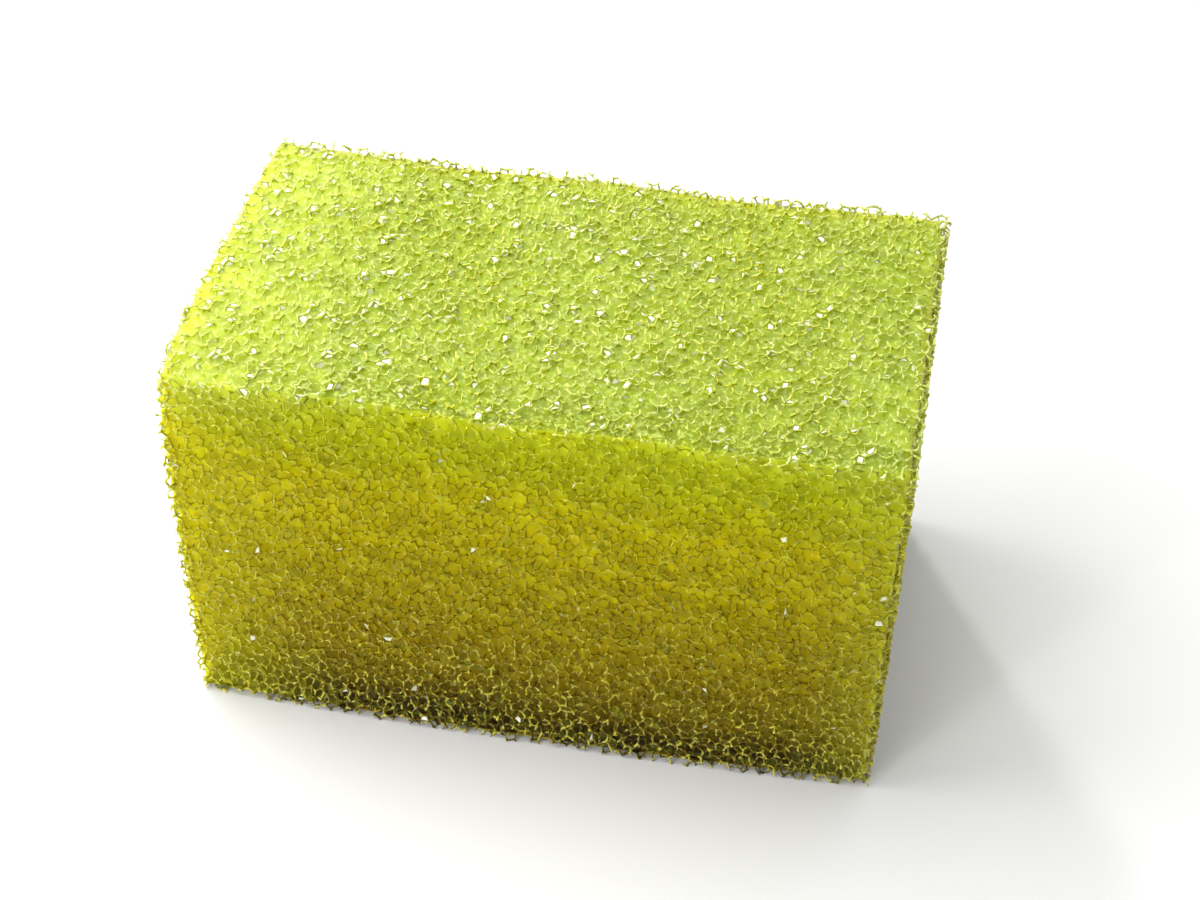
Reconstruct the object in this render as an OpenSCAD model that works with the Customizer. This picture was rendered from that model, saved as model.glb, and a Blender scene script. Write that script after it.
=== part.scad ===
/* [Block] */
// Length of the block between its end cuts
block_length = 100; // [60:1:115]
// Depth of the block from its front cut to its back cut
block_depth = 59; // [40:1:66]
// Height of the block above the surface that it rests on
block_height = 60; // [30:1:66]

/* [Cut] */
// How far each end leans out from its foot to its top
end_lean = 0.8; // [0:0.1:2]
// How far the middle of the left end bulges out
end_bulge = 1; // [0:0.1:3]
// How far the foot of the front face swells forward
foot_bulge = 1.3; // [0:0.1:3]
// Depth of the waves that the knife left across the top
knife_wave = 0.8; // [0:0.1:2]
// Distance between two of those waves
wave_length = 41; // [25:1:80]
// How far the upper front left corner is worn back
worn_corner = 0.5; // [0:0.1:3]
// Distance over which that wear fades out
worn_reach = 5; // [4:0.5:15]
// How far the edges crumble away from cell to cell
edge_crumble = 0.9; // [0:0.1:1]

/* [Cells] */
// Distance between the middles of two open cells
cell_pitch = 4.4; // [4.3:0.1:8]
// Depth of an open cell below the cut face
cell_depth = 2.1; // [0.5:0.1:2.4]
// Most that one cell's depth differs from another's
depth_spread = 0.3; // [0:0.1:0.5]
// How far the corners of a cell stray along the cut face
corner_stray = 0.6; // [0:0.1:0.7]
// How far the walls between cells sink below the cut face
wall_sink = 0.2; // [0:0.1:0.4]
// Share of the underside's cells that stay closed and flat
closed_share = 0.25; // [0:0.05:1]
// Seed of the cells' irregular pattern
seed = 7; // [1:1:99]

/* [Hidden] */
foam_colour = [0.74, 0.79, 0.16];
// Share of its depth that an open cell next to an edge keeps
rim_share = 0.5;
// How far the waves shift along the length for each millimetre of depth
wave_slant = 0.3;
// Place along the length of the wave that dips deepest
wave_dip = -12;
// Steps around the underside's middle within which every cell stays closed
closed_reach = 2;
// Share of a step by which each row of corners is offset from the next
row_offset = 0.5;
// Corners of the pattern stand this far apart: six of them surround each cell
corner_step = cell_pitch / sqrt(3);
block_size = [block_length, block_depth, block_height];
steps = [for (size = block_size) round(size / corner_step)];
step_size = [for (k = [0:2]) block_size[k] / steps[k]];
worn_point = [-block_length / 2, -block_depth / 2, block_height];
block_sides = [for (axis = [0:2], far = [0, 1]) [axis, far]];

// Curve that rises from 0 to 1 and falls back to 0 while t goes from 0 to 1
function hump(t) = 4 * t * (1 - t);

// Three numbers from -1 to 1 that belong to one place of the pattern
function chance(place) = rands(-1, 1, 3, seed + place * [1, 101, 10201]);

// Place in the pattern of corner i, j of a side, as whole steps along X, Y and Z
function place_of(side, i, j) =
    [for (k = [0:2]) k == side[0] ? side[1] * steps[k] : k == (side[0] + 1) % 3 ? i : j];

// Directions that lead from a place on the skin into the block
function inward(place) =
    [for (k = [0:2]) place[k] == 0 ? 1 : place[k] == steps[k] ? -1 : 0];

// Steps from a place to the nearest edge of its side
function edge_steps(place, axis) =
    min([for (k = [0:2]) if (k != axis) min(place[k], steps[k] - place[k])]);

// Every third corner is the middle of an open cell
function is_cell(place, axis) =
    let (i = place[(axis + 1) % 3], j = place[(axis + 2) % 3])
    (i - floor(j / 2) - j) % 3 == 0;

// The underside keeps some cells closed, among them the one below the block's middle
function is_closed(place, axis) =
    let (reach = [place.x - steps.x / 2, place.y - steps.y / 2])
    axis == 2 && place.z == 0
    && (norm(reach) < closed_reach || chance(place)[2] < 2 * closed_share - 1);

// Depth of a place below the even cut face of its side
function sink_of(place, axis) =
    let (luck = chance(place)[2])
    axis == 2 && place.z == 0 && !is_cell(place, axis) ? 0
    : is_closed(place, axis) ? 0
    : !is_cell(place, axis) ? wall_sink * (1 + luck) / 2
    : (cell_depth + depth_spread * luck) * (edge_steps(place, axis) > 1 ? 1 : rim_share);

// Shift in steps that makes the rows of corners on a side interlock
function row_shift(place, axis) =
    let (odd_row = place[(axis + 2) % 3] % 2)
    [for (k = [0:2]) k == (axis + 1) % 3 ? (odd_row - 0.5) * row_offset : 0];

// Point of the even block at a place away from its edges
function face_point(place, axis) =
    let (
        luck = chance(place),
        shifted = place + row_shift(place, axis),
        sunk = sink_of(place, axis) * inward(place)
    )
    [for (k = [0:2])
        shifted[k] * step_size[k] + (k == axis ? sunk[k] : corner_stray * luck[k])];

// Point of the even block at a place on one of its edges, crumbled inward
function edge_point(place) =
    let (luck = chance(place), into = inward(place))
    [for (k = [0:2])
        place[k] * step_size[k]
        + (into[k] == 0 ? corner_stray * luck[k]
           : k == 2 && place.z == 0 ? 0
           : edge_crumble * (1 + luck[k]) / 2 * into[k])];

// Shift that the hand-held knife and wear give to a point of the even block
function hand_cut(point) =
    let (
        x = point.x / block_length + 1 / 2,
        y = point.y / block_depth + 1 / 2,
        z = point.z / block_height,
        along = point.x + wave_slant * point.y - wave_dip,
        ripple = (1 + cos(360 * along / wave_length)) / 2,
        wear = worn_corner * exp(-pow(norm(point - worn_point) / worn_reach, 2))
    )
    [
        wear + end_lean * z * (2 * x - 1) - end_bulge * pow(1 - x, 2) * (hump(y) + hump(z)) / 2,
        wear - foot_bulge * pow((1 - y) * (1 - z), 2) * hump(x),
        -z * (wear + knife_wave * hump(x) * ripple)
    ];

// Point of the finished skin, before it is centred over the origin
function skin_point(place, axis) =
    let (
        on_edge = norm(inward(place)) > 1,
        even = on_edge ? edge_point(place) : face_point(place, axis),
        point = even - [block_length / 2, block_depth / 2, 0]
    )
    point + hand_cut(point);

function side_points(side) =
    [for (j = [0:steps[(side[0] + 2) % 3]], i = [0:steps[(side[0] + 1) % 3]])
        skin_point(place_of(side, i, j), side[0])];

// Two triangles for each square of corners, split so that the rows interlock
function side_faces(side, first) =
    let (row = steps[(side[0] + 1) % 3] + 1)
    [for (j = [0:steps[(side[0] + 2) % 3] - 1], i = [0:row - 2])
        let (a = first + j * row + i, b = a + 1, c = b + row, d = a + row)
        each [for (tri = j % 2 == 0 ? [[a, b, d], [b, c, d]] : [[a, c, d], [a, b, c]])
            side[1] == 1 ? [tri[2], tri[1], tri[0]] : tri]];

function total(counts, upto) = upto < 0 ? 0 : counts[upto] + total(counts, upto - 1);

function middle(values) = (min(values) + max(values)) / 2;

// Block of open-cell foam, cut to size with a knife: every cut leaves its cells open
module sponge() {
    points_by_side = [for (side = block_sides) side_points(side)];
    counts = [for (points = points_by_side) len(points)];
    points = [for (side = points_by_side) each side];
    faces = [for (n = [0:len(block_sides) - 1])
        each side_faces(block_sides[n], total(counts, n - 1))];
    centre = [middle([for (p = points) p.x]), middle([for (p = points) p.y]), 0];
    color(foam_colour)
        polyhedron([for (p = points) p - centre], faces);
}

sponge();
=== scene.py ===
import itertools
import math
from collections import defaultdict

import bpy
import numpy as np
from mathutils import Euler, Matrix, Vector
from mathutils.kdtree import KDTree


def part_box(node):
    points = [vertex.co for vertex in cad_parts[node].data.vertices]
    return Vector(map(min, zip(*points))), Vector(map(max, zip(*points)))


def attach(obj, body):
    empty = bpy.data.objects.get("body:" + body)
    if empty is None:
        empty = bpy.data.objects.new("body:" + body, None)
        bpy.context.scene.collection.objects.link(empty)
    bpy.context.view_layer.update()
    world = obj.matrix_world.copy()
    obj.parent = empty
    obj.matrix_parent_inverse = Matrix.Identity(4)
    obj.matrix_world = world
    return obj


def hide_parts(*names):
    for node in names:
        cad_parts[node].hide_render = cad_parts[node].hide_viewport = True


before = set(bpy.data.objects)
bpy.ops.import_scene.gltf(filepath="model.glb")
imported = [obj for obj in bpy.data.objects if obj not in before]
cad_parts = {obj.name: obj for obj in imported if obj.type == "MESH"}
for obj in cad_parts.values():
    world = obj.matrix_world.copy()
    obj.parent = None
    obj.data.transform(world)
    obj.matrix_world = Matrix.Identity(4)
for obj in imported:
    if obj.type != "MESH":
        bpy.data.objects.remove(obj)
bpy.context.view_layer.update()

SEED = 11
rng = np.random.default_rng(SEED)

# The block's own sizes are in millimetres until a mesh is made; lamps and shaders have metres
MM = 0.001

# The even block, and how far the hand-held knife, swelling and wear shift its faces
LENGTH, DEPTH, HEIGHT = 100.0, 59.0, 60.0
END_LEAN, END_BULGE, FOOT_BULGE = 0.8, 1.0, 1.3
KNIFE_WAVE, WAVE_LENGTH, WAVE_DIP, WAVE_SLANT = 0.8, 41.0, -12.0, 0.3
WORN_CORNER, WORN_REACH = 0.5, 5.0
SIDES = ("left", "front", "under", "right", "back", "top")

# The foam repeats a cube of eight cells, turned so that no row of cells runs along an edge.
# The cells' middles are in quarters of the cube, and cells that touch are less than TOUCHING apart.
CELL_DIAMETER = 2.5
CELL_QUARTERS = [
    (0, 0, 0), (2, 2, 2), (1, 2, 0), (3, 2, 0), (0, 1, 2), (0, 3, 2), (2, 0, 1), (2, 0, 3)
]
TOUCHING = 0.65
CUBE = (len(CELL_QUARTERS) * math.pi / 6 * CELL_DIAMETER**3) ** (1 / 3)
CUBE_TURN = np.array(Euler((0.41, 0.93, 0.27)).to_matrix())
# Cubes whose middles lie up to this many cubes outside the drawn layer are still filled
SPARE_CUBES = 1.5

# Lengths of the waves that bend the lattice, and how far each wave shifts it
LONG_WAVES, LONG_SHIFT = (9, 11, 14, 18, 24, 31), 0.35
SHORT_WAVES, SHORT_SHIFT = (4.5, 5.2, 6, 7), 0.17
CORNER_STRAY = 0.15

# Half the width of a strut at its corners, and the share by which it varies
NODE_REACH, NODE_SPREAD = 0.22, 0.2
# Struts are drawn down to this depth, in chains of at most so many, and end up to CUT_STRAY short
LATTICE_DEPTH, LONGEST_CHAIN, CUT_STRAY = 2.0, 8, 0.12
LEAST_STUB = 0.05

# Torn skins hang in this share of the windows, or in the top's first share at its left end and its
# second at its right end. Their middles and corners lie at most so deep.
SKIN_SHARE, SKIN_SHARES_TOP = 0.04, (1, 0.4)
SKIN_DEPTH, SKIN_CORNER_DEPTH = 0.8, 1.6
# A skin is held by this many neighbouring corners of its window, and torn back to a share of it
FEWEST_HELD, MOST_HELD, SKIN_REACH = 3, 4, (0.7, 1)
SKIN_THICKNESS, SKIN_DOME, SKIN_SHARP_ANGLE = 0.03, 0.15, 60

# The denser inside: its depth below the cuts, the step of its mesh, and the radius of its edges
CORE_INSET, CORE_LEFT_INSET, CORE_TOP, CORE_FOOT = 0.85, 0.3, 0.6, 0.3
CORE_STEP, CORE_ROUND = 0.75, 0.3
# Its pits, the share of their depth on the top, and how fast they flatten towards the edges. Each
# point of the mesh looks for pits among so many of the nearest cells.
PIT_RADIUS, PIT_DEPTH, TOP_PITS, PIT_FLATTEN = 1.25, 0.8, 0.4, 4
NEAREST_CELLS = 3

# Room for one side on the pieces' flat map, named OFBake
MAP_TILE = np.array([104.0, 64.0])

# The photograph's camera, placed from the block's foot: azimuth, elevation and roll in degrees
CAMERA_PLACE = (49.3, -246.9, 247.4)
CAMERA_TURN = (9.77, 41.62, 1.159)
CAMERA_SENSOR, CAMERA_LENS, CAMERA_SHIFT = 36, 67.55, (-0.0120, 0.0306)
CAMERA_NEAREST, CAMERA_FARTHEST = 0.01, 20

# Each lamp's place, width and power
LAMPS = {
    "overhead": ((0, 0.25, 0.95), 1.2, 6.4),
    "key": ((-0.15, 0, 0.24), 0.25, 0.65),
    "spark": ((-0.19, 0.45, 0.44), 0.06, 1),
    "fill": ((-0.4, -0.7, 0.45), 0.5, 2.3),
    "low left": ((-0.3, -0.5, 0.12), 0.05, 0.8),
    "low right": ((0.4, -0.4, 0.12), 0.05, 0.15),
}
WORLD_COLOUR, WORLD_STRENGTH = (1, 1, 1, 1), 0.25
FLOOR_REACH, FLOOR_COLOUR, FLOOR_ROUGHNESS = 3, (0.85, 0.85, 0.85, 1), 0.9

# Colours of the foam at shares of its height, as they show on a screen: the foam's own yellow, with
# painted glow towards the top and painted shade that darkens it to the foot. Its struts, with pale
# strokes on them that are painted highlights, and its core, each with the painted light that its two
# lit ends take on
STRUT_BODY_AND_SHADE = [
    (0, (85, 72, 12)), (0.12, (120, 104, 15)), (0.3, (142, 125, 5)),
    (0.75, (168, 160, 5)), (0.96, (176, 180, 10)), (1, (174, 189, 84)),
]
STRUT_HIGHLIGHTS = [
    (0, (215, 200, 75)), (0.15, (212, 198, 65)), (0.35, (210, 196, 55)),
    (0.55, (195, 180, 30)), (0.96, (198, 202, 30)), (1, (198, 210, 112)),
]
STRUT_LEFT_LIT = [(0.85, (216, 214, 50)), (1, (212, 226, 120))]
STRUT_RIGHT_LIT = [(0, (205, 210, 70)), (0.85, (200, 210, 75)), (1, (190, 210, 95))]
CORE_BODY_AND_SHADE = [
    (0, (32, 23, 4)), (0.06, (70, 54, 4)), (0.14, (126, 106, 4)), (0.3, (170, 148, 2)),
    (0.7, (215, 202, 1)), (0.88, (197, 203, 8)), (0.95, (196, 205, 30)), (1, (176, 194, 62)),
]
CORE_LEFT_LIT = [(0.85, (212, 208, 15)), (1, (203, 220, 78))]
CORE_RIGHT_LIT = [(0, (195, 200, 50)), (0.85, (190, 200, 50)), (1, (170, 192, 60))]
# Where each end's painted light starts and is strongest along X, and its share there
LEFT_LIGHT_FADE, RIGHT_LIGHT_FADE = (-0.025, -0.052, 0.6), (0.036, 0.052, 0.35)
# The core's top, whose own tint is painted light from the lamps above, with fine pale strokes,
# painted highlights that stand for the lit sides of deeper struts, and how far a face turns up to show
# it
TOP_LIT_COLOUR, TOP_HIGHLIGHT_COLOUR, TOP_TURN = (156, 174, 42), (180, 195, 86), (0.1, 0.7)
# The top's painted shade along its front edge, where the light from behind falls off: where it
# starts and is strongest along Y, and its share
TOP_FRONT_SHADE_COLOUR, TOP_FRONT_SHADE_FADE = (128, 142, 12), (-0.019, -0.0295, 0.8)
# The core's underside, and how far a face turns down to show it
UNDER_COLOUR, UNDER_TURN = (195, 184, 10), (-0.5, -0.9)
# The core's left end, which lies in shade between the struts, and where the shade deepens along X
SHADE_COLOUR, SHADE_REACH = (122, 110, 22), (-0.0482, -0.0496)
# The skins' near-white colour is painted glint, so that they show white from any side
SKIN_GLINT_COLOUR = (252, 253, 225)

# Scales of the noises, the spread of their values, and what they change
BLOTCH_SCALE, BLOTCH_DETAIL, BLOTCH_SHIFT = 60, 2, (-0.02, 0.02)
GRAIN_SCALE, FINE_DETAIL, GRAIN_LIGHT = 500, 1, (0.85, 1.12)
STRUT_STROKE_SCALE, CORE_STROKE_SCALE, STROKE_STRETCH = 1100, 1600, (1, 1, 0.5)
NOISE_SPREAD, STROKE_EDGE = (0.3, 0.7), (0.53, 0.58)

# How clear the struts are at shares of the height, how rough the foam is, and its other finish
STRUT_CLEARNESS = [(0, 0.05), (0.15, 0.15), (0.35, 0.3), (0.8, 0.2), (1, 0.05)]
STRUT_ROUGHNESS, CORE_ROUGHNESS = (0.06, 0.16), (0.5, 0.7)
STRUT_FINISH = {
    "Subsurface Weight": 1,
    "Subsurface Radius": (1, 0.9, 0.4),
    "Subsurface Scale": 0.0008,
    "Specular IOR Level": 0.6,
    "IOR": 1.35,
}
CORE_FINISH = {
    "Subsurface Weight": 1,
    "Subsurface Radius": (1, 0.85, 0.1),
    "Subsurface Scale": 0.012,
    "Specular IOR Level": 0.15,
}
SKIN_FINISH = {"Roughness": 0.12, "Transmission Weight": 0.15, "Specular IOR Level": 0.6}

block_high = np.array(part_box("sponge")[1]) / MM
BLOCK_FOOT = np.array([block_high[0] - LENGTH / 2 - END_LEAN, block_high[1] - DEPTH / 2, 0.0])
BLOCK_MIDDLE = BLOCK_FOOT + [0, 0, HEIGHT / 2]


def hump(t):
    """Rises from 0 to 1 and falls back to 0 while t goes from 0 to 1."""
    return 4 * t * (1 - t)


def hand_cut(points):
    """Shift that the hand-held knife and wear give to points of the even block."""
    x = np.clip(points[..., 0] / LENGTH + 0.5, 0, 1)
    y = np.clip(points[..., 1] / DEPTH + 0.5, 0, 1)
    z = np.clip(points[..., 2] / HEIGHT, 0, 1)
    along = points[..., 0] + WAVE_SLANT * points[..., 1] - WAVE_DIP
    ripple = (1 + np.cos(2 * math.pi * along / WAVE_LENGTH)) / 2
    worn_point = np.array([-LENGTH / 2, -DEPTH / 2, HEIGHT])
    reach = np.linalg.norm(points - worn_point, axis=-1) / WORN_REACH
    wear = WORN_CORNER * np.exp(-(reach**2))
    bulge = END_BULGE * (1 - x) ** 2 * (hump(y) + hump(z)) / 2
    shift_x = wear + END_LEAN * z * (2 * x - 1) - bulge
    shift_y = wear - FOOT_BULGE * ((1 - y) * (1 - z)) ** 2 * hump(x)
    shift_z = -z * (wear + KNIFE_WAVE * hump(x) * ripple)
    return np.stack([shift_x, shift_y, shift_z], axis=-1)


def depths(points):
    """Depth of points below each of the six cuts, in the order of SIDES: negative outside."""
    even = points - BLOCK_FOOT
    even = even - hand_cut(even)
    low = np.array([-LENGTH / 2, -DEPTH / 2, 0])
    high = np.array([LENGTH / 2, DEPTH / 2, HEIGHT])
    return np.concatenate([even - low, high - even], axis=-1)


def unit(vectors):
    """The same vectors, each of length 1."""
    return vectors / np.linalg.norm(vectors, axis=-1, keepdims=True)


def facing(points, numbers, direction):
    """The three numbers, in the order whose triangle of points faces direction."""
    a, b, c = (points[n] for n in numbers)
    turned = np.dot(np.cross(b - a, c - a), direction) < 0
    return [numbers[0], numbers[2], numbers[1]] if turned else list(numbers)


# Four cells meet at each corner of the foam, and a film lies between each two of them
PAIRS = list(itertools.combinations(range(4), 2))


def films_of(cells):
    """Numbers of the films between each two of three cells that meet at a corner."""
    a, b, c = cells
    return [PAIRS.index(pair) for pair in ((a, b), (b, c), (a, c))]


def touching_fours(places):
    """Numbers of each four cells that all touch one another, from the cells' middles."""
    gaps = np.linalg.norm(places[:, None] - places[None], axis=2)
    beside = [set(np.flatnonzero((row > 0) & (row < TOUCHING)).tolist()) for row in gaps]
    for a in range(len(places)):
        for b in sorted(n for n in beside[a] if n > a):
            for c in sorted(n for n in beside[a] & beside[b] if n > b):
                for d in sorted(n for n in beside[a] & beside[b] & beside[c] if n > c):
                    yield [a, b, c, d]


def corner_links(cells, fours):
    """The struts and windows of the cube, each as the corners that it joins.

    A strut runs between three cells: its two corners come with the slot, which is the number of
    the fourth cell there, and with the cube. A window's corners come with the film and the cube.
    """
    struts, windows = defaultdict(list), defaultdict(list)
    for number, four in enumerate(fours):
        for slot in range(4):
            three = [cells[n] for n in four if n != four[slot]]
            cube = np.array(three[0][1:])
            key = tuple((kind, *(np.array(home) - cube)) for kind, *home in three)
            struts[key].append((number, slot, cube))
        for film, (p, q) in enumerate(PAIRS):
            (p_kind, *p_cube), (q_kind, *q_cube) = cells[four[p]], cells[four[q]]
            key = (p_kind, q_kind, *np.subtract(q_cube, p_cube))
            windows[key].append((number, film, *np.negative(p_cube)))
    return list(struts.values()), list(windows.values())


def foam_unit():
    """One cube of foam, of side 1, whose cells' middles are an A15 lattice."""
    middles = np.array(CELL_QUARTERS) / 4
    cells = sorted(
        (kind, *cube)
        for kind in range(len(middles))
        for cube in itertools.product((-1, 0, 1), repeat=3)
    )
    places = np.array([middles[kind] + cube for kind, *cube in cells])
    close = 1e-6
    fours = [
        four for four in touching_fours(places)
        if np.all(places[four].mean(axis=0) > -close) and np.all(places[four].mean(axis=0) < 1 - close)
    ]
    around = places[np.array(fours)]
    corners = around.mean(axis=1)
    mids = around[:, PAIRS].mean(axis=2)
    struts, windows = corner_links(cells, fours)

    beyond = np.zeros((len(corners), 4), int)
    beyond_cube = np.zeros((len(corners), 4, 3), int)
    parts = defaultdict(list)
    for (v, v_slot, v_cube), (w, w_slot, w_cube) in struts:
        offset = v_cube - w_cube
        beyond[v, v_slot], beyond_cube[v, v_slot] = w, offset
        beyond[w, w_slot], beyond_cube[w, w_slot] = v, -offset
        v_films = films_of([k for k in range(4) if k != v_slot])
        w_films = films_of([k for k in range(4) if k != w_slot])
        ring = facing(mids[v], v_films, corners[w] + offset - corners[v])
        parts["ends"].append((v, w))
        parts["slots"].append((v_slot, w_slot))
        parts["offset"].append(offset)
        parts["rings"].append((ring, [w_films[v_films.index(film)] for film in ring]))

    for corner, cells_here, mids_here in zip(corners, around, mids):
        for k in range(4):
            others = [n for n in range(4) if n != k]
            touching = [PAIRS.index(tuple(sorted((k, n)))) for n in others]
            outward = cells_here[k] - corner
            parts["cell_faces"].append(facing(mids_here, touching, outward))
            parts["end_faces"].append(facing(mids_here, films_of(others), -outward))

    for ring in windows:
        spokes = np.array([corners[number] + cube for number, _, *cube in ring])
        spokes -= spokes.mean(axis=0)
        sideways = np.cross(unit(np.cross(spokes[0], spokes[1])), spokes[0])
        angles = np.arctan2(spokes @ sideways, spokes @ spokes[0])
        ring[:] = [ring[n] for n in np.argsort(angles)]
    parts = {name: np.array(rows) for name, rows in parts.items()}
    for name in ("cell_faces", "end_faces"):
        parts[name] = parts[name].reshape(-1, 4, 3)
    return {
        "middles": middles,
        "corners": corners,
        "beyond": beyond,
        "beyond_cube": beyond_cube,
        "windows": [np.array(ring) for ring in windows],
        **parts,
    }


def drift(points, waves, height):
    """Smooth wandering of points, as the sum of waves that run every way."""
    total = np.zeros_like(points)
    for length in waves:
        way = unit(rng.normal(size=3))
        push = np.cross(way, unit(rng.normal(size=3)))
        phase = rng.uniform(0, 2 * math.pi)
        total += np.sin(points @ way * (2 * math.pi / length) + phase)[:, None] * push
    return total * height


def foam_network():
    """The foam in the layer below the cuts: its cells, corners, struts, windows and film points."""
    cube = foam_unit()
    per_cube = len(cube["corners"])
    turn = CUBE_TURN * CUBE
    many = math.ceil(np.linalg.norm([LENGTH, DEPTH, HEIGHT]) / 2 / CUBE) + 1
    grid = np.array(list(itertools.product(range(-many, many + 1), repeat=3)))
    below = depths((grid + 0.5) @ turn.T + BLOCK_MIDDLE).min(axis=1)
    spare = SPARE_CUBES * CUBE
    grid = grid[(below > -spare) & (below < LATTICE_DEPTH + spare)]
    number = np.full((2 * many + 3,) * 3, -1)
    number[tuple((grid + many + 1).T)] = np.arange(len(grid))

    def corner_number(home, local, offset):
        """Number of a cube's corner, in the cube that lies offset from home: -1 if it has none."""
        other = number[tuple(np.moveaxis(grid[home] + offset + many + 1, -1, 0))]
        return np.where(other < 0, -1, other * per_cube + local)

    home = np.repeat(np.arange(len(grid)), per_cube)
    local = np.tile(np.arange(per_cube), len(grid))
    corners = grid[home] + cube["corners"][local]
    cells = (grid[:, None] + cube["middles"]).reshape(-1, 3)
    places = np.concatenate([corners, cells]) @ turn.T + BLOCK_MIDDLE
    places += drift(places, LONG_WAVES, LONG_SHIFT)
    places += drift(places, SHORT_WAVES, SHORT_SHIFT)
    corners, cells = np.split(places, [len(corners)])
    corners += rng.uniform(-CORNER_STRAY, CORNER_STRAY, corners.shape)
    beyond = np.stack(
        [
            corner_number(home, cube["beyond"][local, k], cube["beyond_cube"][local, k])
            for k in range(4)
        ],
        axis=1,
    )
    whole = np.all(beyond >= 0, axis=1)
    ways = unit(corners[beyond] - corners[:, None])
    reach = NODE_REACH * (1 + NODE_SPREAD * rng.uniform(-1, 1, len(corners)))
    films = np.stack(
        [
            corners + reach[:, None] * unit(np.delete(ways, pair, axis=1).sum(axis=1))
            for pair in PAIRS
        ],
        axis=1,
    )

    count = len(cube["ends"])
    home = np.repeat(np.arange(len(grid)), count)
    kind = np.tile(np.arange(count), len(grid))
    starts = home * per_cube + cube["ends"][kind, 0]
    stops = corner_number(home, cube["ends"][kind, 1], cube["offset"][kind])
    sound = (stops >= 0) & whole[starts] & whole[stops]
    windows = []
    for ring in cube["windows"]:
        home = np.repeat(np.arange(len(grid)), len(ring)).reshape(-1, len(ring))
        corner = corner_number(home, ring[:, 0], ring[:, 2:])
        rings = np.stack([corner, np.broadcast_to(ring[:, 1], corner.shape)], axis=2)
        windows.append(rings[np.all(corner >= 0, axis=1)])
    return {
        "cells": cells,
        "corners": corners,
        "films": films,
        "whole": whole,
        "cell_faces": cube["cell_faces"][local],
        "end_faces": cube["end_faces"][local],
        "ends": np.stack([starts, stops], axis=1)[sound],
        "slots": cube["slots"][kind[sound]],
        "rings": cube["rings"][kind[sound]],
        "windows": windows,
    }


def mark_kept(net):
    """Adds to the network how deep each corner lies, its side, and whether it is kept or deeper."""
    below = depths(net["corners"])
    depth = below.min(axis=1)
    near = net["whole"] & (depth > 0) & (depth < LATTICE_DEPTH)
    deep = net["whole"] & (depth >= LATTICE_DEPTH)
    # A corner is kept if a chain of struts joins it to the deeper foam, so nothing hangs in the air
    first, last = net["ends"].T
    held = np.zeros(len(near), bool)
    np.logical_or.at(held, first, deep[last])
    np.logical_or.at(held, last, deep[first])
    both = near[first] & near[last]
    for _ in range(LONGEST_CHAIN):
        np.logical_or.at(held, first, both & held[last])
        np.logical_or.at(held, last, both & held[first])
    net.update(depth=depth, side=below.argmin(axis=1), deep=deep, kept=near & held)


def bake_map(points, triangles, side):
    """Place of each triangle's corners on a map that shows each side straight on, in its own tile.

    A side that is given has the whole map; with None, each triangle goes to the side it lies next to.
    """
    corners = points[triangles]
    sides = depths(corners.mean(axis=1)).argmin(axis=1) if side is None else np.full(len(corners), side)
    shown_axes = np.array([(1, 2), (0, 2), (0, 1)])[sides % 3]
    place = np.take_along_axis(corners - BLOCK_MIDDLE, shown_axes[:, None], axis=2) + MAP_TILE / 2
    if side is not None:
        return place / MAP_TILE
    tile = np.stack([sides // 3, sides % 3], axis=1) * MAP_TILE
    return (place + tile[:, None]) / (MAP_TILE * (2, 3))


def make_piece(name, points, triangles, material, side=None):
    """A piece of the foam from the triangles and from those points that they use."""
    used, corners = np.unique(triangles, return_inverse=True)
    mesh = bpy.data.meshes.new(name)
    mesh.vertices.add(len(used))
    mesh.vertices.foreach_set("co", (points[used] * MM).astype(np.float32).ravel())
    mesh.loops.add(corners.size)
    mesh.loops.foreach_set("vertex_index", corners.astype(np.int32).ravel())
    mesh.polygons.add(len(triangles))
    mesh.polygons.foreach_set("loop_start", np.arange(0, corners.size, 3, dtype=np.int32))
    mesh.update(calc_edges=True)
    mesh.shade_smooth()
    places = bake_map(points, triangles, side).astype(np.float32)
    mesh.uv_layers.new(name="OFBake").data.foreach_set("uv", places.ravel())
    mesh.materials.append(material)
    piece = bpy.data.objects.new(name, mesh)
    bpy.context.scene.collection.objects.link(piece)
    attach(piece, "root")
    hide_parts("sponge")
    return piece


def drawn_struts(net):
    """The ends, slots and rings of the struts to draw, each turned to start at a kept corner."""
    kept, deep = net["kept"], net["deep"]
    turned = ~kept[net["ends"][:, 0]]
    ends = np.where(turned[:, None], net["ends"][:, ::-1], net["ends"])
    slots = np.where(turned[:, None], net["slots"][:, ::-1], net["slots"])
    rings = np.where(turned[:, None, None], net["rings"][:, ::-1, ::-1], net["rings"])
    start, end = ends.T
    # A strut isn't drawn if its far corner lies inside the block but was dropped
    drawn = kept[start] & (kept[end] | deep[end] | (net["depth"][end] <= 0))
    return ends[drawn], slots[drawn], rings[drawn]


def cut_tips(films, first, last):
    """Film points where struts that leave the block are cut off, from their first to last ones."""
    from_depth, to_depth = depths(films[first]), depths(films[last])
    stray = rng.uniform(0, CUT_STRAY, len(first))[:, None, None]
    stray = np.where(np.arange(len(SIDES)) == SIDES.index("under"), 0, stray)
    with np.errstate(divide="ignore", invalid="ignore"):
        share = (from_depth - stray) / (from_depth - to_depth)
    share = np.where(to_depth < stray, share, 1).min(axis=2)
    share = np.clip(share, LEAST_STUB, 1)[..., None]
    return films[first] * (1 - share) + films[last] * share


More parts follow.
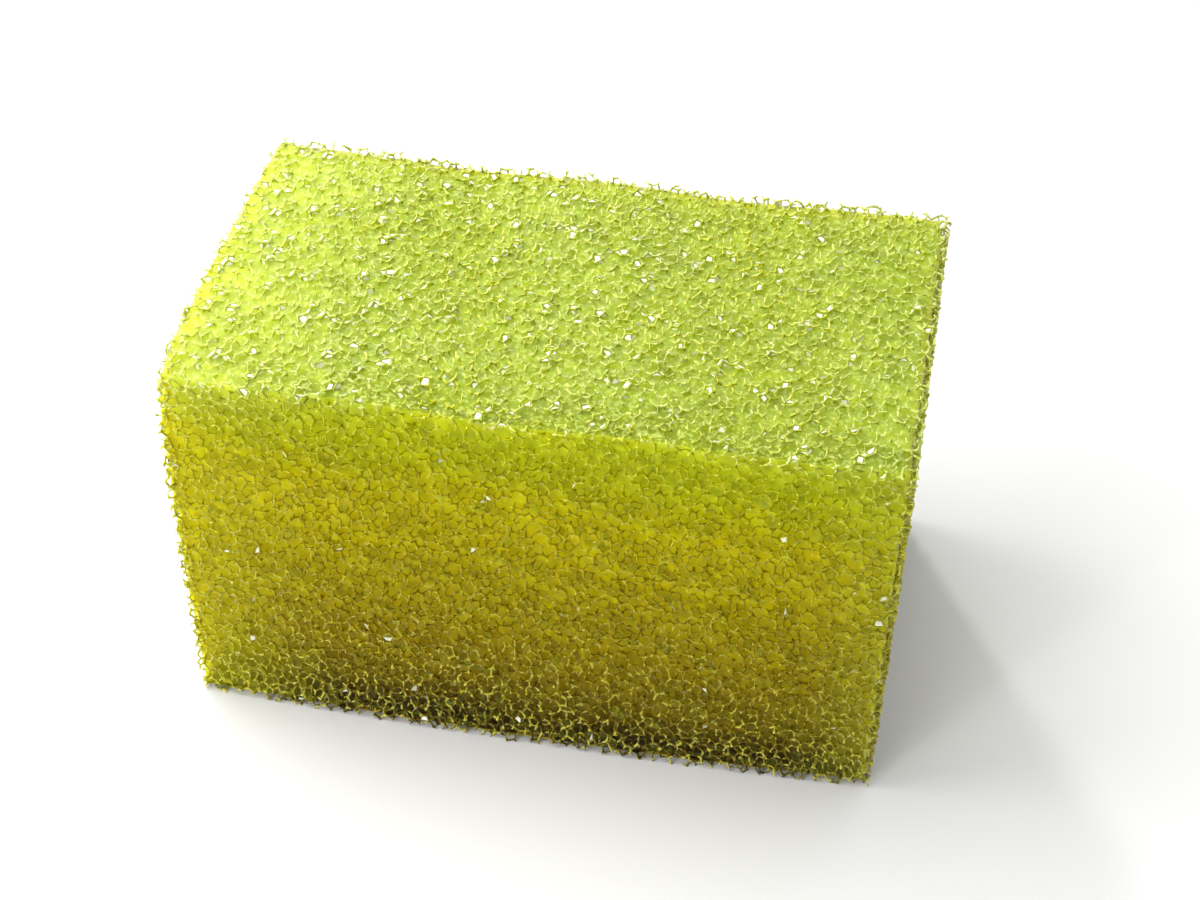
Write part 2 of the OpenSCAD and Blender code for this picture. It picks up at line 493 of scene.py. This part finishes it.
def add_struts(net, material):
    """One closed mesh for each side, with a three-sided wall around each strut."""
    ends, slots, rings = drawn_struts(net)
    start, end = ends.T
    kept, side = net["kept"], net["side"]
    films = net["films"].reshape(-1, 3)
    per_corner = len(PAIRS)
    first = (start * per_corner)[:, None] + rings[:, 0]
    last = (end * per_corner)[:, None] + rings[:, 1]
    cut = net["depth"][end] <= 0
    tips = cut_tips(films, first[cut], last[cut]).reshape(-1, 3)
    last[cut] = len(films) + np.arange(len(tips)).reshape(-1, 3)
    points = np.concatenate([films, tips])
    points[:, 2] = np.maximum(points[:, 2], 0)

    # A strut's far end is capped unless it joins a kept corner of the same side
    joined = kept[end] & (side[end] == side[start])
    taken = np.zeros((len(kept), 4), bool)
    taken[start, slots[:, 0]] = True
    taken[end[joined], slots[joined, 1]] = True
    for number, name in enumerate(SIDES):
        mine = side[start] == number
        near, far = first[mine], last[mine]
        walls = []
        for a, b in ((0, 1), (1, 2), (2, 0)):
            walls.append(np.stack([near[:, a], near[:, b], far[:, b]], axis=1))
            walls.append(np.stack([near[:, a], far[:, b], far[:, a]], axis=1))
        caps = last[mine & ~joined]
        corner = np.flatnonzero(kept & (side == number))
        base = (corner * per_corner)[:, None, None]
        faces = (net["cell_faces"][corner] + base).reshape(-1, 3)
        bare = (net["end_faces"][corner] + base)[~taken[corner]]
        triangles = np.concatenate([*walls, caps, faces, bare])
        make_piece("struts_" + name, points, triangles, material, number)


def add_skins(net, material):
    """Thin domed skins that still hang in some of the windows between cells, near the cuts."""
    kept = net["kept"]
    # The top's share falls from its left end to its right, which puts more painted glints at the lit
    # left end
    rightness = (net["corners"][:, 0] - BLOCK_MIDDLE[0]) / LENGTH + 0.5
    top_shares = SKIN_SHARES_TOP[0] + rightness * (SKIN_SHARES_TOP[1] - SKIN_SHARES_TOP[0])
    shares = np.where(net["side"] == SIDES.index("top"), top_shares, SKIN_SHARE)
    shares = np.where(kept & (net["depth"] < SKIN_CORNER_DEPTH), shares, 0)
    points, triangles = [], []
    for windows in net["windows"]:
        chosen = rng.uniform(size=len(windows)) < shares[windows[:, 0, 0]]
        for window in windows[chosen]:
            corner, film = window[: rng.integers(FEWEST_HELD, MOST_HELD + 1)].T
            rim = net["films"][corner, film]
            rim = rim[0] + (rim - rim[0]) * rng.uniform(*SKIN_REACH)
            middle = rim.mean(axis=0)
            if not np.all(kept[corner]) or depths(middle).min() > SKIN_DEPTH:
                continue
            normal = unit(np.cross(rim[0] - middle, rim[1] - middle))
            middle = middle + normal * rng.uniform(-SKIN_DOME, SKIN_DOME)
            half = normal * SKIN_THICKNESS / 2
            first, count = len(points), len(rim)
            points += [*rim, middle + half, middle - half]
            for n in range(count):
                a, b = first + n, first + (n + 1) % count
                triangles += [(a, b, first + count), (b, a, first + count + 1)]
    points = np.array(points)
    points[:, 2] = np.maximum(points[:, 2], 0)
    piece = make_piece("skins", points, np.array(triangles), material)
    piece.data.set_sharp_from_angle(angle=math.radians(SKIN_SHARP_ANGLE))


def box_grid(steps):
    """Points and triangles of a box's skin, of so many steps along each axis."""
    numbers, points, triangles = {}, [], []
    for axis in range(3):
        u, v = (axis + 1) % 3, (axis + 2) % 3
        for level, i, j in itertools.product((0, steps[axis]), range(steps[u]), range(steps[v])):
            ring = []
            for di, dj in ((0, 0), (1, 0), (1, 1), (0, 1)):
                place = [0, 0, 0]
                place[axis], place[u], place[v] = level, i + di, j + dj
                place = tuple(place)
                if place not in numbers:
                    numbers[place] = len(points)
                    points.append(place)
                ring.append(numbers[place])
            if level == 0:
                ring.reverse()
            triangles += [(ring[0], ring[1], ring[2]), (ring[0], ring[2], ring[3])]
    return np.array(points), np.array(triangles)


def pit_depths(points, outward, cells):
    """How far each point sinks so that every cell that reaches it leaves a ball-shaped pit."""
    tree = KDTree(len(cells))
    for number, cell in enumerate(cells):
        tree.insert(cell, number)
    tree.balance()
    pits = np.zeros(len(points))
    for number, (point, out) in enumerate(zip(points, outward)):
        for cell, _, gap in tree.find_n(point, NEAREST_CELLS):
            if gap < PIT_RADIUS:
                rise = np.dot(out, point - np.array(cell))
                pit = rise + math.sqrt(rise**2 + PIT_RADIUS**2 - gap**2)
                pits[number] = max(pits[number], pit)
    return PIT_DEPTH * np.tanh(pits / PIT_DEPTH)


def add_core(cells, material):
    """The denser inside of the foam: a rounded box that follows the cuts, with a pit for each cell."""
    low = np.array([CORE_LEFT_INSET - LENGTH / 2, CORE_INSET - DEPTH / 2, CORE_FOOT])
    high = np.array([LENGTH / 2 - CORE_INSET, DEPTH / 2 - CORE_INSET, HEIGHT - CORE_TOP])
    steps = np.ceil((high - low) / CORE_STEP).astype(int)
    grid, triangles = box_grid(steps.tolist())
    even = low + grid / steps * (high - low)
    inner = np.clip(even, low + CORE_ROUND, high - CORE_ROUND)
    outward = unit(even - inner)
    even = inner + outward * CORE_ROUND
    points = even + hand_cut(even) + BLOCK_FOOT
    # The pits are shallow along the edges, where two sides meet, and on the top
    pits = pit_depths(points, outward, cells) * np.abs(outward).max(axis=1) ** PIT_FLATTEN
    pits *= 1 - (1 - TOP_PITS) * np.clip(outward[:, 2], 0, 1)
    make_piece("core", points - outward * pits[:, None], triangles, material)


def linear(colour):
    """A colour that is given as it shows on a screen, from 0 to 255, in linear light by sRGB's curve."""
    shares = [value / 255 for value in colour]
    return (*(s / 12.92 if s <= 0.04045 else ((s + 0.055) / 1.055) ** 2.4 for s in shares), 1)


def add_node(tree, kind, inputs, **settings):
    """A new node whose inputs are set to a value, or joined to the socket that is given."""
    node = tree.nodes.new("ShaderNode" + kind)
    for name, value in settings.items():
        setattr(node, name, value)
    for name, value in inputs.items():
        if isinstance(value, bpy.types.NodeSocket):
            tree.links.new(value, node.inputs[name])
        else:
            node.inputs[name].default_value = value
    return node


def ramp(tree, factor, stops):
    """Colours, or plain numbers, that follow a factor through the stops."""
    node = add_node(tree, "ValToRGB", {"Fac": factor})
    elements = node.color_ramp.elements
    elements.remove(elements[1])
    elements[0].position = stops[0][0]
    for number, (place, value) in enumerate(stops):
        stop = elements.new(place) if number else elements[0]
        stop.color = linear(value) if isinstance(value, tuple) else (value, value, value, 1)
    return node.outputs["Color"]


def spread(tree, value, values_from, values_to, **settings):
    """A value stretched from one spread of numbers to another."""
    limits = dict(zip(("From Min", "From Max", "To Min", "To Max"), (*values_from, *values_to)))
    return add_node(tree, "MapRange", {"Value": value, **limits}, **settings).outputs["Result"]


def mixed(tree, share, colour, other):
    """One colour with a share of another."""
    return add_node(tree, "Mix", {0: share, 6: colour, 7: other}, data_type="RGBA").outputs[2]


def noise(tree, place, scale, detail):
    """Cloudy values, of which most lie within NOISE_SPREAD."""
    return add_node(tree, "TexNoise", {"Vector": place, "Scale": scale, "Detail": detail}).outputs["Fac"]


def stroke_share(tree, place, scale):
    """A share that is 1 in scattered short strokes of painted highlight and 0 between them."""
    stretched = add_node(tree, "Mapping", {"Vector": place, "Scale": STROKE_STRETCH}).outputs["Vector"]
    pale = noise(tree, stretched, scale, FINE_DETAIL)
    return spread(tree, pale, STROKE_EDGE, (0, 1), interpolation_type="SMOOTHSTEP")


def with_core_top(tree, colour, place, inward, turned):
    """The core's colour, with the painted light, shade and highlights of its top where it is turned up.
    """
    *reach, most = TOP_FRONT_SHADE_FADE
    # Painted shade: the top darkens towards its front edge, where the light from behind falls off
    front = spread(tree, inward, reach, (0, most), interpolation_type="SMOOTHSTEP")
    ground = mixed(tree, front, linear(TOP_LIT_COLOUR), linear(TOP_FRONT_SHADE_COLOUR))
    # Pale strokes: painted highlights on deeper struts
    strokes = stroke_share(tree, place, CORE_STROKE_SCALE)
    top = mixed(tree, strokes, ground, linear(TOP_HIGHLIGHT_COLOUR))
    # The top's own tint is painted light for the lamps above
    return mixed(tree, spread(tree, turned, TOP_TURN, (0, 1)), colour, top)


def with_core_shade(tree, colour, along, turned):
    """The core's colour, with those of its underside and of its shaded left end."""
    colour = mixed(tree, spread(tree, turned, UNDER_TURN, (0, 1)), colour, linear(UNDER_COLOUR))
    at_end = spread(tree, along, SHADE_REACH, (0, 1))
    upright = spread(tree, turned, TOP_TURN, (1, 0))
    shade = add_node(tree, "Math", {0: at_end, 1: upright}, operation="MULTIPLY").outputs["Value"]
    return mixed(tree, shade, colour, linear(SHADE_COLOUR))


def foam_finish(name, body, left, right, roughness, values, strokes=None, clearness=None):
    """Foam whose colours follow its height, with painted glow near the top and painted shade towards
    the foot, and its ends, with painted light, with a fine grain.

    The struts have strokes of painted highlight and a clearness. The core has neither: it has sides of
    its own colours, with painted light and highlights on its top and painted shade at its left end.
    """
    material = bpy.data.materials.new(name)
    material.use_nodes = True
    tree = material.node_tree
    shader = tree.nodes["Principled BSDF"]
    coordinates = add_node(tree, "TexCoord", {}).outputs
    place = coordinates["Object"]
    along, inward, up = add_node(tree, "SeparateXYZ", {"Vector": place}).outputs
    turned = add_node(tree, "SeparateXYZ", {"Vector": coordinates["Normal"]}).outputs["Z"]
    stray = spread(tree, noise(tree, place, BLOTCH_SCALE, BLOTCH_DETAIL), NOISE_SPREAD, BLOTCH_SHIFT)
    rise = add_node(tree, "Math", {0: up, 1: 1 / (HEIGHT * MM), 2: stray}, operation="MULTIPLY_ADD")
    rise = rise.outputs["Value"]
    # By height: the foam's own yellow, with painted glow near the top and painted shade that darkens to
    # the foot
    colour = ramp(tree, rise, body)
    if strokes:
        # Pale strokes: painted highlights on the struts
        pale = stroke_share(tree, place, STRUT_STROKE_SCALE)
        colour = mixed(tree, pale, colour, ramp(tree, rise, strokes))
    else:
        colour = with_core_top(tree, colour, place, inward, turned)
    # The ends' colours: painted light where the lamps light the two ends
    for (near, far, share), end in ((LEFT_LIGHT_FADE, left), (RIGHT_LIGHT_FADE, right)):
        fade = spread(tree, along, (near, far), (0, share), interpolation_type="SMOOTHSTEP")
        colour = mixed(tree, fade, colour, ramp(tree, rise, end))
    if not strokes:
        colour = with_core_shade(tree, colour, along, turned)
    grain = noise(tree, place, GRAIN_SCALE, FINE_DETAIL)
    light = spread(tree, grain, NOISE_SPREAD, GRAIN_LIGHT)
    colour = add_node(tree, "HueSaturation", {"Color": colour, "Value": light}).outputs["Color"]
    tree.links.new(colour, shader.inputs["Base Color"])
    tree.links.new(spread(tree, grain, NOISE_SPREAD, roughness), shader.inputs["Roughness"])
    if clearness:
        tree.links.new(ramp(tree, rise, clearness), shader.inputs["Transmission Weight"])
    for socket, value in values.items():
        shader.inputs[socket].default_value = value
    return material


def skin_finish():
    """Pale glossy film, whose near-white colour is painted glint that shows from any side."""
    material = bpy.data.materials.new("skin")
    material.use_nodes = True
    shader = material.node_tree.nodes["Principled BSDF"]
    shader.inputs["Base Color"].default_value = linear(SKIN_GLINT_COLOUR)
    for socket, value in SKIN_FINISH.items():
        shader.inputs[socket].default_value = value
    return material


def add_camera():
    """The camera that sees the block as the photograph does."""
    camera = bpy.data.objects.new("camera", bpy.data.cameras.new("camera"))
    bpy.context.scene.collection.objects.link(camera)
    bpy.context.scene.camera = camera
    azimuth, elevation, roll = (math.radians(angle) for angle in CAMERA_TURN)
    turn = Matrix.Rotation(azimuth, 3, "Z") @ Matrix.Rotation(math.pi / 2 - elevation, 3, "X")
    camera.rotation_euler = (turn @ Matrix.Rotation(roll, 3, "Z")).to_euler()
    camera.location = (CAMERA_PLACE + BLOCK_FOOT) * MM
    camera.data.sensor_width, camera.data.lens = CAMERA_SENSOR, CAMERA_LENS
    camera.data.shift_x, camera.data.shift_y = CAMERA_SHIFT
    camera.data.clip_start, camera.data.clip_end = CAMERA_NEAREST, CAMERA_FARTHEST


def add_lamp(name, place, width, power):
    """A round lamp that shines on the block's middle."""
    data = bpy.data.lights.new(name, "AREA")
    data.shape, data.size, data.energy = "DISK", width, power
    lamp = bpy.data.objects.new(name, data)
    lamp.location = place
    aim = Vector((0, 0, HEIGHT / 2 * MM)) - Vector(place)
    lamp.rotation_euler = aim.to_track_quat("-Z", "Y").to_euler()
    bpy.context.scene.collection.objects.link(lamp)


def add_studio():
    """The plain pale floor, the surrounding light and the lamps."""
    mesh = bpy.data.meshes.new("floor")
    corners = [(x * FLOOR_REACH, y * FLOOR_REACH, 0) for x, y in ((-1, -1), (1, -1), (1, 1), (-1, 1))]
    mesh.from_pydata(corners, [], [(0, 1, 2, 3)])
    floor = bpy.data.objects.new("floor", mesh)
    bpy.context.scene.collection.objects.link(floor)
    paint = bpy.data.materials.new("floor")
    paint.use_nodes = True
    shader = paint.node_tree.nodes["Principled BSDF"]
    shader.inputs["Base Color"].default_value = FLOOR_COLOUR
    shader.inputs["Roughness"].default_value = FLOOR_ROUGHNESS
    mesh.materials.append(paint)
    world = bpy.data.worlds.new("studio")
    world.use_nodes = True
    background = world.node_tree.nodes["Background"]
    background.inputs["Color"].default_value = WORLD_COLOUR
    background.inputs["Strength"].default_value = WORLD_STRENGTH
    bpy.context.scene.world = world
    for name, (place, width, power) in LAMPS.items():
        add_lamp(name, place, width, power)


add_camera()
add_studio()

net = foam_network()
mark_kept(net)
strut_finish = foam_finish(
    "strut", STRUT_BODY_AND_SHADE, STRUT_LEFT_LIT, STRUT_RIGHT_LIT, STRUT_ROUGHNESS, STRUT_FINISH,
    strokes=STRUT_HIGHLIGHTS, clearness=STRUT_CLEARNESS,
)
core_finish = foam_finish("core", CORE_BODY_AND_SHADE, CORE_LEFT_LIT, CORE_RIGHT_LIT, CORE_ROUGHNESS, CORE_FINISH)
add_struts(net, strut_finish)
add_core(net["cells"], core_finish)
add_skins(net, skin_finish())

bpy.context.scene.view_settings.view_transform = "Standard"
